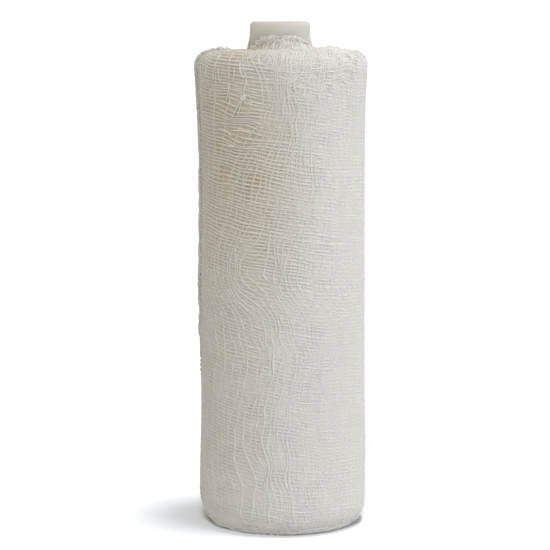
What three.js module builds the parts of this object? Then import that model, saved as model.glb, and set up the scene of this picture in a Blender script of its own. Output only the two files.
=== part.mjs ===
// A zinc paste bandage, wound tightly on a plastic tube core and stood on its end.
//
// The bandage is one wound solid: its last ply ends in a cut edge that leaves a small step down the
// left side, its turns show as low ridges on both ends, and its innermost turns creep up the neck of
// the core. The core is a moulded tube with a rounded rim and a cone where it leaves the cloth.
// Millimetres, +Z up. The origin is on the axis of the roll, on the surface that it stands on.

import * as THREE from "three";

// Driving dimensions
const BANDAGE_WIDTH = 99.8; // the cloth stands this high when it is wound
const PLY = 0.42; // one layer of paste-soaked gauze

const CORE = {
  centreX: -0.45, // the core sits a little off the middle of the roll
  bottom: 0.9,
  top: 106,
  radius: 6.9, // inside the cloth
  neckRadius: 6.3, // above it
  coneBottom: 100.6,
  coneTop: 103.5,
  bore: 5.0,
  rim: 0.85, // rounding of the outer rim
  lip: 0.35, // rounding of the inner rim
};
const SEAT_GAP = 0.3; // between the core and the cloth
const BORE_DROP = 0.8; // the cloth's hole is straight up to here below the top face

// The side of the roll: how far it reaches to the left and to the right of the axis at each height.
const SIDE = [
  { height: 8, left: 17.58, right: 17.45 },
  { height: 16, left: 17.35, right: 17.57 },
  { height: 27, left: 17.15, right: 17.41 },
  { height: 37, left: 17.12, right: 17.33 },
  { height: 44, left: 17.13, right: 17.31 },
  { height: 50, left: 17.36, right: 17.29 },
  { height: 59, left: 17.18, right: 17.25 },
  { height: 70, left: 17.08, right: 17.21 },
  { height: 80, left: 17.08, right: 17.17 },
  { height: 87, left: 17.33, right: 17.19 },
  { height: 92, left: 17.63, right: 17.39 },
  { height: 96.2, left: 17.93, right: 17.67 },
];

// The cut edge of the last ply: its place round the roll at each height, in degrees from the front.
const CUT_EDGE = [
  { height: 0, angle: -106 },
  { height: 18, angle: -104 },
  { height: 32, angle: -101 },
  { height: 40, angle: -94 },
  { height: 47, angle: -85 },
  { height: 60, angle: -83 },
  { height: 78, angle: -85 },
  { height: 101, angle: -88 },
];
const CUT_SLOPE = 1.4; // degrees that the step at the cut edge takes

// Shallow waves round the wound side, which fade out where the photo gives the outline.
const WAVES = [
  { count: 3, size: 0.07, wavelength: 57 },
  { count: 5, size: 0.05, wavelength: -38 },
];

const SHOULDER = { drop: 3.2, insetLeft: 2.6, insetRight: 2.3 }; // rounding of the top edge
const FOOT = { riseLeft: 6.4, riseRight: 4.4, insetLeft: 4.6, insetRight: 3.7 }; // of the bottom edge
const FOOT_HOLLOW = { radius: 8.3, rise: 0.6 }; // the bottom draws in around the core

// What stands up on the top face: a lump for each stretch of turns that was pushed up in handling.
const LUMPS = [
  { angle: -88, radius: 12.2, width: 30, reach: 1.6, rise: 0.68 },
  { angle: -158, radius: 12.2, width: 34, reach: 1.8, rise: 0.18 },
  { angle: 86, radius: 10.4, width: 34, reach: 2.7, rise: 1.05 },
  { angle: 165, radius: 12.4, width: 26, reach: 1.6, rise: 0.35 },
  { angle: 20, radius: 11.5, width: 32, reach: 2.2, rise: 0.32 },
];
const RIDGE = { pitch: 1.65, half: 0.16 }; // turns that sit level with each other, as one ridge

// The innermost turns that creep up the neck, highest at the front and to the right of it.
const COLLAR = { angle: 14, spread: 54, rise: 2.65, low: 0.2, lip: 0.25, thick: 0.42, foot: 0.8 };
const COLLAR_SPLAY = { middle: 0.55, foot: 1.5 }; // it is this much thicker where it is highest

const COLUMNS = 88; // around the roll
const BORE_STEPS = 4;
const COLLAR_STEPS = 3;
const FACE_STEPS = 14;
const CORNER_STEPS = 5;
const WALL_STEPS = 17;
const CORE_SIDES = 48;
const RIM_STEPS = 4;

const DEG = Math.PI / 180;
const mix = (a, b, t) => a + (b - a) * t;

// A value of a table at a height, joined smoothly from row to row.
function readTable(table, height, column) {
  const last = table.length - 1;
  if (height <= table[0].height) return table[0][column];
  if (height >= table[last].height) return table[last][column];
  const upper = table.findIndex((row) => row.height > height);
  const [low, high] = [table[upper - 1], table[upper]];
  const t = (height - low.height) / (high.height - low.height);
  return mix(low[column], high[column], t * t * (3 - 2 * t));
}

// 0 on the left of the roll, 1 on the right.
const rightness = (angle) => (1 + Math.sin(angle)) / 2;

// Reach of the roll from its axis in one direction; angle 0 is the front, 90 degrees the right.
function sideRadius(angle, height) {
  const left = readTable(SIDE, height, "left");
  const right = readTable(SIDE, height, "right");
  const wave = (row) => row.size * Math.sin(row.count * angle + (2 * Math.PI * height) / row.wavelength);
  const waves = WAVES.reduce((sum, row) => sum + wave(row), 0);
  return mix(left, right, rightness(angle)) + waves * Math.cos(angle) ** 2;
}

// How far the core's outside is from the core's own axis at a height.
function neckRadius(height) {
  const t = (height - CORE.coneBottom) / (CORE.coneTop - CORE.coneBottom);
  return mix(CORE.radius, CORE.neckRadius, Math.min(Math.max(t, 0), 1));
}

// A soft bump: 1 in the middle, 0.37 at one width from it.
const bump = (distance, width) => Math.exp(-((distance / width) ** 2));
const angleBetween = (a, b) => Math.abs(Math.atan2(Math.sin(a - b), Math.cos(a - b)));

// Height of the top face: lumps, and the ridges of the wound turns as one long spiral.
function faceHeight(angle, radius) {
  const lumps = LUMPS.map(
    (lump) =>
      lump.rise *
      bump(angleBetween(angle, lump.angle * DEG), lump.width * DEG) *
      bump(radius - lump.radius, lump.reach),
  ).reduce((sum, rise) => sum + rise, 0);
  const turn = radius / RIDGE.pitch - angle / (2 * Math.PI);
  return BANDAGE_WIDTH + lumps + RIDGE.half * Math.cos(2 * Math.PI * turn);
}

// A point of the roll, from its angle, its distance from an axis at x = axisX, and its height.
const roundPoint = (angle, radius, height, axisX = 0) =>
  new THREE.Vector3(axisX + radius * Math.sin(angle), -radius * Math.cos(angle), height);

// One upright section of the wound cloth at a share of a turn from the cut edge, as a closed loop:
// up the bore, over the collar and the top face, down the wall, round the foot and back in.
function rollSection(share) {
  const turn = share * (360 - CUT_SLOPE) * DEG;
  const angleAt = (height) => readTable(CUT_EDGE, height, "angle") * DEG + turn;
  const ply = PLY * share; // the last ply lies on itself once more with each turn
  const loop = [];
  const add = (angle, radius, height, axisX) => loop.push(roundPoint(angle, radius, height, axisX));

  const bore = CORE.radius + SEAT_GAP;
  const boreTop = BANDAGE_WIDTH - BORE_DROP;
  for (let i = 0; i <= BORE_STEPS; i++) {
    const height = mix(FOOT_HOLLOW.rise, boreTop, i / BORE_STEPS);
    add(angleAt(height), bore, height, CORE.centreX);
  }

  const topAngle = angleAt(BANDAGE_WIDTH);
  const climb = bump(angleBetween(topAngle, COLLAR.angle * DEG), COLLAR.spread * DEG);
  const collarTop = BANDAGE_WIDTH + COLLAR.low + COLLAR.rise * climb;
  for (let i = 1; i <= COLLAR_STEPS; i++) {
    const height = mix(boreTop, collarTop, i / COLLAR_STEPS);
    add(topAngle, neckRadius(height) + SEAT_GAP, height, CORE.centreX);
  }
  add(topAngle, neckRadius(collarTop) + SEAT_GAP + COLLAR.lip, collarTop, CORE.centreX);
  const halfway = mix(BANDAGE_WIDTH, collarTop, 0.5);
  const thick = COLLAR.thick + COLLAR_SPLAY.middle * climb;
  add(topAngle, neckRadius(halfway) + SEAT_GAP + thick, halfway, CORE.centreX);
  const crease = CORE.radius + SEAT_GAP + COLLAR.foot + COLLAR_SPLAY.foot * climb;

  const shoulderInset = mix(SHOULDER.insetLeft, SHOULDER.insetRight, rightness(topAngle));
  const shoulderTop = sideRadius(topAngle, BANDAGE_WIDTH) + ply - shoulderInset;
  for (let i = 0; i <= FACE_STEPS; i++) {
    const t = i / FACE_STEPS;
    const radius = mix(crease, shoulderTop, t);
    add(topAngle, radius, faceHeight(topAngle, radius), CORE.centreX * (1 - t));
  }

  const shoulderRim = faceHeight(topAngle, shoulderTop);
  for (let i = 1; i <= CORNER_STEPS; i++) {
    const a = (i / CORNER_STEPS) * 90 * DEG;
    const height = shoulderRim - SHOULDER.drop * (1 - Math.cos(a));
    const angle = angleAt(height);
    const wall = sideRadius(angle, height) + ply;
    add(angle, wall - shoulderInset * (1 - Math.sin(a)), height);
  }

  const wallTop = shoulderRim - SHOULDER.drop;
  const footAngle = angleAt(0);
  const footRise = mix(FOOT.riseLeft, FOOT.riseRight, rightness(footAngle));
  const footInset = mix(FOOT.insetLeft, FOOT.insetRight, rightness(footAngle));
  for (let i = 1; i <= WALL_STEPS; i++) {
    const height = mix(wallTop, footRise, i / WALL_STEPS);
    const angle = angleAt(height);
    add(angle, sideRadius(angle, height) + ply, height);
  }
  for (let i = 1; i <= CORNER_STEPS; i++) {
    const a = (i / CORNER_STEPS) * 90 * DEG;
    const height = i === CORNER_STEPS ? 0 : footRise * (1 - Math.sin(a));
    const angle = angleAt(height);
    const wall = sideRadius(angle, height) + ply;
    add(angle, wall - footInset * (1 - Math.cos(a)), height);
  }
  add(footAngle, FOOT_HOLLOW.radius, 0, CORE.centreX);
  return loop;
}

// Joins a ring of closed loops, each with as many points, into one closed surface.
function loopsToGeometry(loops) {
  const points = loops[0].length;
  const index = [];
  loops.forEach((_, column) => {
    const here = column * points;
    const next = ((column + 1) % loops.length) * points;
    for (let i = 0; i < points; i++) {
      const after = (i + 1) % points;
      index.push(here + i, next + after, next + i, here + i, here + after, next + after);
    }
  });
  const geometry = new THREE.BufferGeometry().setFromPoints(loops.flat());
  geometry.setIndex(index);
  geometry.computeVertexNormals();
  return geometry;
}

function makeBandageRoll() {
  const loops = Array.from({ length: COLUMNS }, (_, i) => rollSection(i / (COLUMNS - 1)));
  const gauze = new THREE.MeshStandardMaterial({ color: 0xdcd7ca, roughness: 0.72, metalness: 0 });
  const roll = new THREE.Mesh(loopsToGeometry(loops), gauze);
  roll.name = "bandage_roll";
  return roll;
}

// The core: a tube turned from one closed outline, from the foot up the outside and down the bore.
function makeCore() {
  const outline = [
    new THREE.Vector2(CORE.bore, CORE.bottom),
    new THREE.Vector2(CORE.radius, CORE.bottom),
    new THREE.Vector2(CORE.radius, CORE.coneBottom),
    new THREE.Vector2(CORE.neckRadius, CORE.coneTop),
  ];
  const corner = (radius, height, size, from) => {
    for (let i = 0; i <= RIM_STEPS; i++) {
      const a = (from + (i / RIM_STEPS) * 90) * DEG;
      outline.push(new THREE.Vector2(radius + size * Math.cos(a), height + size * Math.sin(a)));
    }
  };
  corner(CORE.neckRadius - CORE.rim, CORE.top - CORE.rim, CORE.rim, 0);
  corner(CORE.bore + CORE.lip, CORE.top - CORE.lip, CORE.lip, 90);
  outline.push(outline[0].clone());

  const geometry = new THREE.LatheGeometry(outline, CORE_SIDES);
  geometry.rotateX(Math.PI / 2); // a lathe turns about Y, and the roll's axis is Z
  const plastic = new THREE.MeshStandardMaterial({ color: 0xd8d2c2, roughness: 0.45, metalness: 0 });
  const core = new THREE.Mesh(geometry, plastic);
  core.name = "core";
  core.position.x = CORE.centreX;
  return core;
}

const group = new THREE.Group();
group.name = "zinc_paste_bandage_roll";
group.add(makeBandageRoll(), makeCore());

export default group;
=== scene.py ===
# %% [markdown]
# # A zinc paste bandage, wound on its plastic core
# The real object is a strip of open cotton gauze, 10 cm wide, that is soaked with white zinc paste and
# wound tightly on a moulded tube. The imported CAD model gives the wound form. What it can't give is the
# cloth: some hundred and forty threads across the width, which cross, drift, crowd and fray.
# A weave could be a bump texture, but the threads of this gauze stand apart and show how thick each one
# is, along the outline too, so here each thread is a real tube laid on the form.

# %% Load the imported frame
import math

import bpy
import numpy as np
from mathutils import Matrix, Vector
from mathutils.bvhtree import BVHTree


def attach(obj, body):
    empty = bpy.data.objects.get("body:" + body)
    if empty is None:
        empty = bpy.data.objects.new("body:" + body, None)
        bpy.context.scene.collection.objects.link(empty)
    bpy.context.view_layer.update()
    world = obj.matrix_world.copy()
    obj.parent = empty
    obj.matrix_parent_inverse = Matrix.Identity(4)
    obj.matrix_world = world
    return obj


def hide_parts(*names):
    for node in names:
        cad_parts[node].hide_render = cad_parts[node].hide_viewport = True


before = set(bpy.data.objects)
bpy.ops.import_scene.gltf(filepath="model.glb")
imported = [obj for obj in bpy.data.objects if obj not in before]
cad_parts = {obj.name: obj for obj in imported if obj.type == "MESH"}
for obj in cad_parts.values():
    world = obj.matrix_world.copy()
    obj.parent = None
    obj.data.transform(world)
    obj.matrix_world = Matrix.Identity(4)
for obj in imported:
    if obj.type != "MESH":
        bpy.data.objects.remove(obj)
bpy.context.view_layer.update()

MM = 0.001
TAU = 2 * math.pi

# %% [markdown]
# ## The camera
# The photo was taken from about level with the top of the core and looks down a little, through a long
# lens. The roll stands a little right of the middle, so the camera stands a little left of the roll's
# axis and its lens needs no shift.

# %% Place the camera
CAMERA_DISTANCE = 450
CAMERA_HEIGHT = 106.5
CAMERA_LEFT = 1.5
CAMERA_DOWN = 6.82  # degrees
LENS = 140.1  # on a 36 mm wide sensor

camera = bpy.data.objects.new("camera", bpy.data.cameras.new("camera"))
camera.data.lens = LENS
camera.data.sensor_width = 36
camera.location = Vector((-CAMERA_LEFT, -CAMERA_DISTANCE, CAMERA_HEIGHT)) * MM
camera.rotation_euler = (math.radians(90 - CAMERA_DOWN), 0, 0)
bpy.context.scene.collection.objects.link(camera)
bpy.context.scene.camera = camera
print("camera at", tuple(round(c / MM, 1) for c in camera.location), "mm")

# %% [markdown]
# ## Small helpers
# Every piece below is worked out as arrays of points in millimetres, and then becomes a mesh with a
# material and a body to ride on. A thread is a tube around a path.

# %% Turn points and faces into a piece
def make_piece(name, points, faces, material, slot, attributes=None):
    mesh = bpy.data.meshes.new(name)
    points = np.maximum(points, (-np.inf, -np.inf, 0))  # pressed flat where the roll stands on the floor
    mesh.from_pydata((points * MM).tolist(), [], faces.tolist())
    mesh.polygons.foreach_set("use_smooth", [True] * len(mesh.polygons))
    for key, values in (attributes or {}).items():
        layer = mesh.attributes.new(key, "FLOAT", "POINT")
        layer.data.foreach_set("value", np.asarray(values, np.float32))
    mesh.update()
    mesh.materials.append(material)
    piece = bpy.data.objects.new(name, mesh)
    bpy.context.scene.collection.objects.link(piece)
    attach(piece, "root")
    print(f"{name}: {len(points)} points, {2 * len(faces)} triangles")
    return piece


# %% Lay a tube around each path
TUBE_SIDES = 4
TUBE_FLATNESS = 0.7  # a thread that is pressed into paste is less thick than wide


def unit(vectors):
    return vectors / np.maximum(np.linalg.norm(vectors, axis=-1, keepdims=True), 1e-9)


def tubes(paths, outward, radius):
    """Closed tubes for an array of threads x points x 3, as points and four-cornered faces."""
    threads, steps = paths.shape[:2]
    along = unit(np.gradient(paths, axis=1))
    across = unit(np.cross(along, outward))
    up = np.cross(across, along) * TUBE_FLATNESS
    radius = np.broadcast_to(radius, (threads, steps))[..., None, None]
    corner = np.arange(TUBE_SIDES)
    angle = (corner / TUBE_SIDES * TAU)[:, None]
    ring = np.cos(angle) * across[:, :, None] + np.sin(angle) * up[:, :, None]
    points = (paths[:, :, None] + radius * ring).reshape(-1, 3)

    following = (corner + 1) % TUBE_SIDES
    first = np.arange(threads)[:, None] * steps * TUBE_SIDES
    last = first + (steps - 1) * TUBE_SIDES
    start = (first + np.arange(steps - 1) * TUBE_SIDES).reshape(-1, 1)
    quads = np.stack([start + corner, start + TUBE_SIDES + corner,
                      start + TUBE_SIDES + following, start + following], axis=-1).reshape(-1, 4)
    return points, np.concatenate([quads, first + corner, last + corner[::-1]])


# %% Join several sets of tubes into one
def join(sets):
    offsets = np.cumsum([0] + [len(points) for points, _ in sets[:-1]])
    faces = [part + offset for (_, part), offset in zip(sets, offsets)]
    return np.concatenate([points for points, _ in sets]), np.concatenate(faces)


# %% Faces for a skin that closes on itself
def wrapped_faces(columns, rows):
    """Faces of a grid whose last column meets the first, and whose last row meets the first."""
    i, j = np.meshgrid(np.arange(columns), np.arange(rows), indexing="ij")
    beside, above = (i + 1) % columns, (j + 1) % rows
    corners = [i * rows + j, beside * rows + j, beside * rows + above, i * rows + above]
    return np.stack(corners, axis=-1).reshape(-1, 4)


# %% Read a short table between its rows
def from_table(table, at):
    """The second column of a table of pairs, at a value of the first."""
    return np.interp(at, *np.array(table, float).T)


# %% A soft wandering value over the cloth, the same in each run
def drift(seed, size, waves=14):
    """A function of two lengths in mm, about -1 to 1, that changes over about this size in mm."""
    draw = np.random.default_rng(seed)
    pull = draw.normal(size=(waves, 2)) * (2.2 / size)
    phase = draw.uniform(0, TAU, waves)
    return lambda x, y: sum(np.sin(a * x + b * y + p) for (a, b), p in zip(pull, phase)) / math.sqrt(waves)


# %% [markdown]
# ## Reading the wound form
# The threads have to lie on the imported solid. Rays are cast at it from outside, from a smooth outline
# that runs from under the foot, up the wall, over the shoulder and in to the neck of the core. The last
# ply ends at a step down the left side, so a place on the cloth is given by the turn from that step and
# by the length along the outline. Each place found is kept in a table, and a smooth look-up in it
# gives any point of the surface and the direction that faces outward there.

# %% The outline that the rays start from
ROLL_RADIUS = 17.4
FOOT_RADIUS = 4.3
SHOULDER_RADIUS = 3.0
TOP_HEIGHT = 100.0
FOOT_INNER = 8.6
NECK_INNER = 7.35
CORE_X = -0.45  # the core's axis lies a little to the left
# At the front the innermost turns creep up the neck, so there the outline reaches a little further in.
NECK_ANGLE = math.radians(14)
NECK_SPREAD = math.radians(32)
NECK_REACH = 0.25


def outline_points():
    """Rows of radius, height, and the outward direction's share out and up, in mm."""
    quarter = np.linspace(0, math.pi / 2, 24)
    foot_x, top_x = ROLL_RADIUS - FOOT_RADIUS, ROLL_RADIUS - SHOULDER_RADIUS
    shoulder_z = TOP_HEIGHT - SHOULDER_RADIUS
    rows = [(x, 0, 0, -1) for x in np.linspace(FOOT_INNER, foot_x, 8)[:-1]]
    rows += [(foot_x + FOOT_RADIUS * math.sin(a), FOOT_RADIUS * (1 - math.cos(a)),
              math.sin(a), -math.cos(a)) for a in quarter]
    rows += [(top_x + SHOULDER_RADIUS * math.cos(a), shoulder_z + SHOULDER_RADIUS * math.sin(a),
              math.cos(a), math.sin(a)) for a in quarter]
    rows += [(x, TOP_HEIGHT, 0, 1) for x in np.linspace(top_x, NECK_INNER, 12)[1:]]
    return np.array(rows)


outline = outline_points()
outline_length = np.concatenate([[0], np.cumsum(np.hypot(*np.diff(outline[:, :2], axis=0).T))])
CLOTH_END = outline_length[-1]


def outline_at(length):
    return [np.interp(length, outline_length, outline[:, i]) for i in range(4)]


def length_at(height):
    """The length along the outline at a height of the wall."""
    wall = (outline[:, 1] > 0.01) & (outline[:, 1] < TOP_HEIGHT - 0.01)
    return np.interp(height, outline[wall, 1], outline_length[wall])


print(f"outline {CLOTH_END:.1f} mm long; the wall's middle is at {length_at(50):.1f} mm")

# %% Where the last ply ends
# Degrees round the roll from the front, at each height in mm, as in the solid.
CUT_EDGE = [(0, -106), (18, -104), (32, -101), (40, -94), (47, -85), (60, -83), (78, -85), (101, -88)]


def cut_at(length):
    heights, degrees = np.array(CUT_EDGE, float).T
    height = np.clip(outline_at(length)[1], heights[0], heights[-1])
    row = np.clip(np.searchsorted(heights, height, side="right") - 1, 0, len(heights) - 2)
    t = (height - heights[row]) / (heights[row + 1] - heights[row])
    return np.radians(degrees[row] + (degrees[row + 1] - degrees[row]) * t * t * (3 - 2 * t))


# %% Cast the rays and keep what they meet
TURN_STEPS = 180
LENGTH_STEPS = 300
TURN_START = math.radians(0.3)
TURN_END = math.radians(358.2)  # just before the step
RAY_START = 8  # mm outside the outline

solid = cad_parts["bandage_roll"].data
tree = BVHTree.FromPolygons([v.co / MM for v in solid.vertices], [p.vertices for p in solid.polygons])
turns = np.linspace(TURN_START, TURN_END, TURN_STEPS + 1)
lengths = np.linspace(0, CLOTH_END, LENGTH_STEPS + 1)


def meet(turn, length):
    x, z, out, up = outline_at(length)
    azimuth = cut_at(length) + turn
    round_x, round_y = math.sin(azimuth), -math.cos(azimuth)
    if up > 0.99:  # on the flat top
        near_front = math.exp(-((azimuth - NECK_ANGLE) / NECK_SPREAD) ** 2)
        x -= NECK_REACH * near_front * (1 - (x - NECK_INNER) / (ROLL_RADIUS - SHOULDER_RADIUS - NECK_INNER))
    away = Vector((round_x * out, round_y * out, up))
    place, _, _, _ = tree.ray_cast(Vector((round_x * x, round_y * x, z)) + away * RAY_START, -away)
    return place if place else Vector((round_x * x, round_y * x, z))


surface = np.array([[meet(turn, length) for length in lengths] for turn in turns])
outward = unit(np.cross(np.gradient(surface, axis=0), np.gradient(surface, axis=1)))
print("rays cast:", surface.shape[0] * surface.shape[1], "outward at the front:",
      outward[TURN_STEPS // 4, LENGTH_STEPS // 2].round(2))


# %% Look up a place on the roll
def blend(table, i, j):
    """The value of a table between its rows and its columns."""
    i0, j0 = i.astype(int), j.astype(int)
    fi, fj = i - i0, j - j0
    if table.ndim > 2:
        fi, fj = fi[..., None], fj[..., None]
    near = table[i0, j0] * (1 - fi) + table[i0 + 1, j0] * fi
    far = table[i0, j0 + 1] * (1 - fi) + table[i0 + 1, j0 + 1] * fi
    return near * (1 - fj) + far * fj


def on_roll(turn, length, lift=0.0):
    """Point and outward direction at a turn in radians and a length in mm, lifted off by some mm."""
    turn, length, lift = np.broadcast_arrays(turn, length, lift)
    i = np.clip((turn - TURN_START) / (TURN_END - TURN_START) * TURN_STEPS, 0, TURN_STEPS - 1e-6)
    j = np.clip(length / CLOTH_END * LENGTH_STEPS, 0, LENGTH_STEPS - 1e-6)
    normal = unit(blend(outward, i, j))
    return blend(surface, i, j) + normal * lift[..., None], normal


def azimuth_of(turn, length):
    """Angle round the roll from the front, from -90 at the left to 270 degrees, in radians."""
    return cut_at(length) + turn


# %% [markdown]
# ## How the gauze lies
# Zinc paste gauze is woven open: here about 14 warp threads to the centimetre of width, and 6 weft threads
# to the centimetre of length at the left front, or up to 11 where they crowd at the right. The warp runs
# round the roll. It was wound a little askew, so each warp thread lies in a tilted plane. The weft runs up
# and down, and was dragged aside in winding, so it sways in one long S down the front, crowds in places and
# leaves ladders in others. A cloth simulation could give such drifts, but not these ones. So each thread's
# path is worked out from a few short tables that were read off the photo, and a soft random drift.

# %% Warp threads: where each one lies
WARP_PITCH = 0.72  # mm
WARP_LEAST = 0.36  # mm that threads are kept apart, at least
CLOTH_BOTTOM = 10.2  # length along the outline of the lower woven edge
CLOTH_WIDTH = 100.0
# How far the warp dips from left to right, in mm either way, at each height in mm.
WARP_DIP = [(0, 1.8), (12, 2.7), (30, 3.1), (55, 3.2), (75, 3.2), (90, 2.9), (100, 2.0)]
DIP_TURN = math.radians(12)  # how far to the left of the front the warp is steepest

# Openings, where the warp was pushed apart.
OPENINGS = [
    {"angle": -34, "height": 89.2, "reach": 11, "tall": 1.4, "mm": 0.85},
    {"angle": -27, "height": 83.2, "reach": 12, "tall": 1.3, "mm": 0.9},
    {"angle": -52, "height": 75, "reach": 12, "tall": 1.5, "mm": 0.35},
    {"angle": 120, "height": 70, "reach": 12, "tall": 1.5, "mm": 0.5},
    {"angle": 215, "height": 45, "reach": 14, "tall": 1.4, "mm": 0.5},
]

# %% Keep neighbouring threads apart
def spread(paths, least):
    """Keeps neighbouring paths about this far apart or more, and the first and last where they were."""
    gaps = np.maximum(np.diff(paths, axis=0), least)
    stretched = np.concatenate([paths[:1], paths[:1] + np.cumsum(gaps, axis=0)])
    share = (paths[-1] - paths[0]) / (stretched[-1] - stretched[0])
    return paths[0] + (stretched - stretched[0]) * share


# %% Work out the path of each warp thread
# Each path is its length along the outline at every degree of turn.
FIELD_TURNS = 360

warp_count = int(CLOTH_WIDTH / WARP_PITCH)
field_turns = np.linspace(0, TAU, FIELD_TURNS + 1)
draw = np.random.default_rng(11)


def warp_paths():
    spacing = draw.uniform(0.78, 1.22, warp_count - 1)
    base = CLOTH_BOTTOM + np.concatenate([[0], np.cumsum(spacing)]) / spacing.sum() * CLOTH_WIDTH
    base = base[:, None]
    azimuth = azimuth_of(field_turns, base)
    dip = from_table(WARP_DIP, outline_at(base)[1])
    arc = azimuth * ROLL_RADIUS
    wander = 0.24 * drift(21, 13)(arc, base) + 0.11 * drift(22, 5)(arc, base)
    own = 0.05 * drift(23, 4)(arc, base * 40)
    lie = base - dip * np.sin(azimuth + DIP_TURN) + wander + own
    for gap in OPENINGS:
        away = (lie - length_at(gap["height"])) / gap["tall"]
        beside = np.exp(-((np.degrees(azimuth) - gap["angle"]) / gap["reach"]) ** 2)
        lie = lie + gap["mm"] * beside * away * np.exp(0.5 - away * away / 2)
    return spread(lie, WARP_LEAST)


warps = warp_paths()
print(f"{warp_count} warp threads, {np.diff(warps, axis=0).mean():.2f} mm apart")

# %% Weft threads: where each one lies
# Distance from weft to weft in mm, at each angle round the roll in degrees.
WEFT_PITCH = [(-88, 1.6), (-45, 1.7), (-12, 1.5), (5, 0.95), (60, 0.92), (110, 1.1), (180, 1.4),
              (230, 1.25), (272, 1.5)]
WEFT_LEAST = math.radians(1.15)  # turn that threads are kept apart, at least
FIRST_WEFT_AT, LAST_WEFT_AT = -88, 270  # degrees round the roll
BARE_START, BARE_IN_ALL = math.radians(0.8), math.radians(2.5)  # kept free of weft at the step
# The long S of the weft: degrees to the right at each height in mm, for threads at the front.
WEFT_SWAY = [(0, 22), (6.6, 20), (10, 17), (13, 13), (19, 11), (27, 11), (34, 16), (37.7, 13), (40, 10),
             (43.5, 2), (46.3, -7), (49.2, -18), (51.5, -27), (54.5, -34), (57.6, -33), (61.5, -25),
             (64.2, -20), (74, -10), (82, -3), (90, 2), (103, 5)]
# How much of that sway the weft takes, at each angle round the roll in degrees.
SWAY_SHARE = [(-88, 0), (-70, 0.45), (-45, 0.85), (-20, 1), (5, 0.95), (30, 0.6), (55, 0.3), (90, 0.12),
              (140, -0.3), (200, -0.45), (250, -0.2), (272, 0)]
# Ladders, where the weft was pushed apart, and crowds, where it was pushed together.
PUSHES = [
    {"angle": -46, "height": 89, "reach": 14, "tall": 9, "degrees": 11},
    {"angle": -26, "height": 55, "reach": 7, "tall": 6.5, "degrees": 7},
    {"angle": -12, "height": 14, "reach": 8, "tall": 5, "degrees": 4},
    {"angle": 0, "height": 90, "reach": 16, "tall": 12, "degrees": -6},
    {"angle": 150, "height": 62, "reach": 10, "tall": 9, "degrees": 5},
    {"angle": 205, "height": 30, "reach": 9, "tall": 7, "degrees": 4},
]

# %% Work out the path of each weft thread
# Each path is its turn at every half millimetre of length.
FIELD_STEP, FIELD_MARGIN = 0.5, 3  # mm
AT_EDGE = int(FIELD_MARGIN / FIELD_STEP)  # the column of a woven edge
DEGREES_IN_RADIAN = 57.3  # rounded, which shifts the weft's drift by a hundredth of a millimetre at most

round_degrees = np.linspace(FIRST_WEFT_AT, LAST_WEFT_AT, LAST_WEFT_AT - FIRST_WEFT_AT + 1)
weft_places = np.cumsum(ROLL_RADIUS * math.radians(1) / from_table(WEFT_PITCH, round_degrees))
weft_count = int(weft_places[-1])
field_end = CLOTH_BOTTOM + CLOTH_WIDTH + FIELD_MARGIN
field_lengths = np.arange(CLOTH_BOTTOM - FIELD_MARGIN, field_end, FIELD_STEP)


def weft_paths():
    spacing = draw.uniform(0.7, 1.35, weft_count - 1)
    place = np.concatenate([[0], np.cumsum(spacing)]) / spacing.sum() * weft_places[-1]
    turn = np.radians(np.interp(place, weft_places, round_degrees) - FIRST_WEFT_AT)[:, None]
    turn = BARE_START + turn / turn[-1] * (TAU - BARE_IN_ALL)
    height = outline_at(field_lengths)[1]
    azimuth = turn + math.radians(FIRST_WEFT_AT)
    degrees = np.degrees(azimuth)
    sway = from_table(WEFT_SWAY, height) * from_table(SWAY_SHARE, degrees)
    for push in PUSHES:
        away = (degrees + sway - push["angle"]) / push["reach"]
        beside = away * np.exp(0.5 - away * away / 2)
        sway = sway + push["degrees"] * beside * np.exp(-((height - push["height"]) / push["tall"]) ** 2)
    arc = degrees / DEGREES_IN_RADIAN * ROLL_RADIUS
    along = np.broadcast_to(field_lengths, sway.shape)
    sway = sway + 1.3 * drift(31, 9)(arc, along) + 1.1 * drift(32, 3.5)(arc * 3, along)
    near_foot = np.clip(1.6 - height / 20, 0, 1)
    sway = sway + 1.5 * drift(33, 3.5)(arc * 0.6, along) * near_foot
    # Within 25 degrees of the step, on either side of it, the threads are held more and more.
    loose = np.clip(np.minimum(turn, TAU - turn) / math.radians(25), 0.15, 1)
    return spread(turn + np.radians(sway) * loose, WEFT_LEAST)


wefts = weft_paths()
print(f"{weft_count} weft threads, {np.diff(wefts, axis=0).mean() * ROLL_RADIUS:.2f} mm apart")

# %% Count the threads at any place
# A warp thread passes over one weft thread and under the next, so it has to know which weft it meets.
# Two tables count the threads: how many wefts lie before a place, and how many warps lie below it.
weft_number = np.stack([np.interp(field_turns, column, np.arange(weft_count)) for column in wefts.T], 1)
warp_number = np.stack([np.interp(field_lengths, column, np.arange(warp_count)) for column in warps.T], 0)


def count_at(table, turn, length):
    turn, length = np.broadcast_arrays(turn, length)
    i = np.clip(turn / TAU * FIELD_TURNS, 0, FIELD_TURNS - 1e-6)
    j = np.clip((length - field_lengths[0]) / FIELD_STEP, 0, len(field_lengths) - 1 - 1e-6)
    return blend(table, i, j)


# %% [markdown]
# ## Materials
# Four finishes make up the roll: soaked yarn, teased fibres, paste in the meshes, and the plastic of the
# core. All are near-white, so what tells them apart is how dull they are, how far light goes into them,
# and how warm it comes out. The colours are read as sRGB and turned to linear once.

# %% Colour and node helpers
def linear(code):
    channels = [int(code[i:i + 2], 16) / 255 for i in (1, 3, 5)]
    return [c / 12.92 if c <= 0.04045 else ((c + 0.055) / 1.055) ** 2.4 for c in channels] + [1.0]


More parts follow.
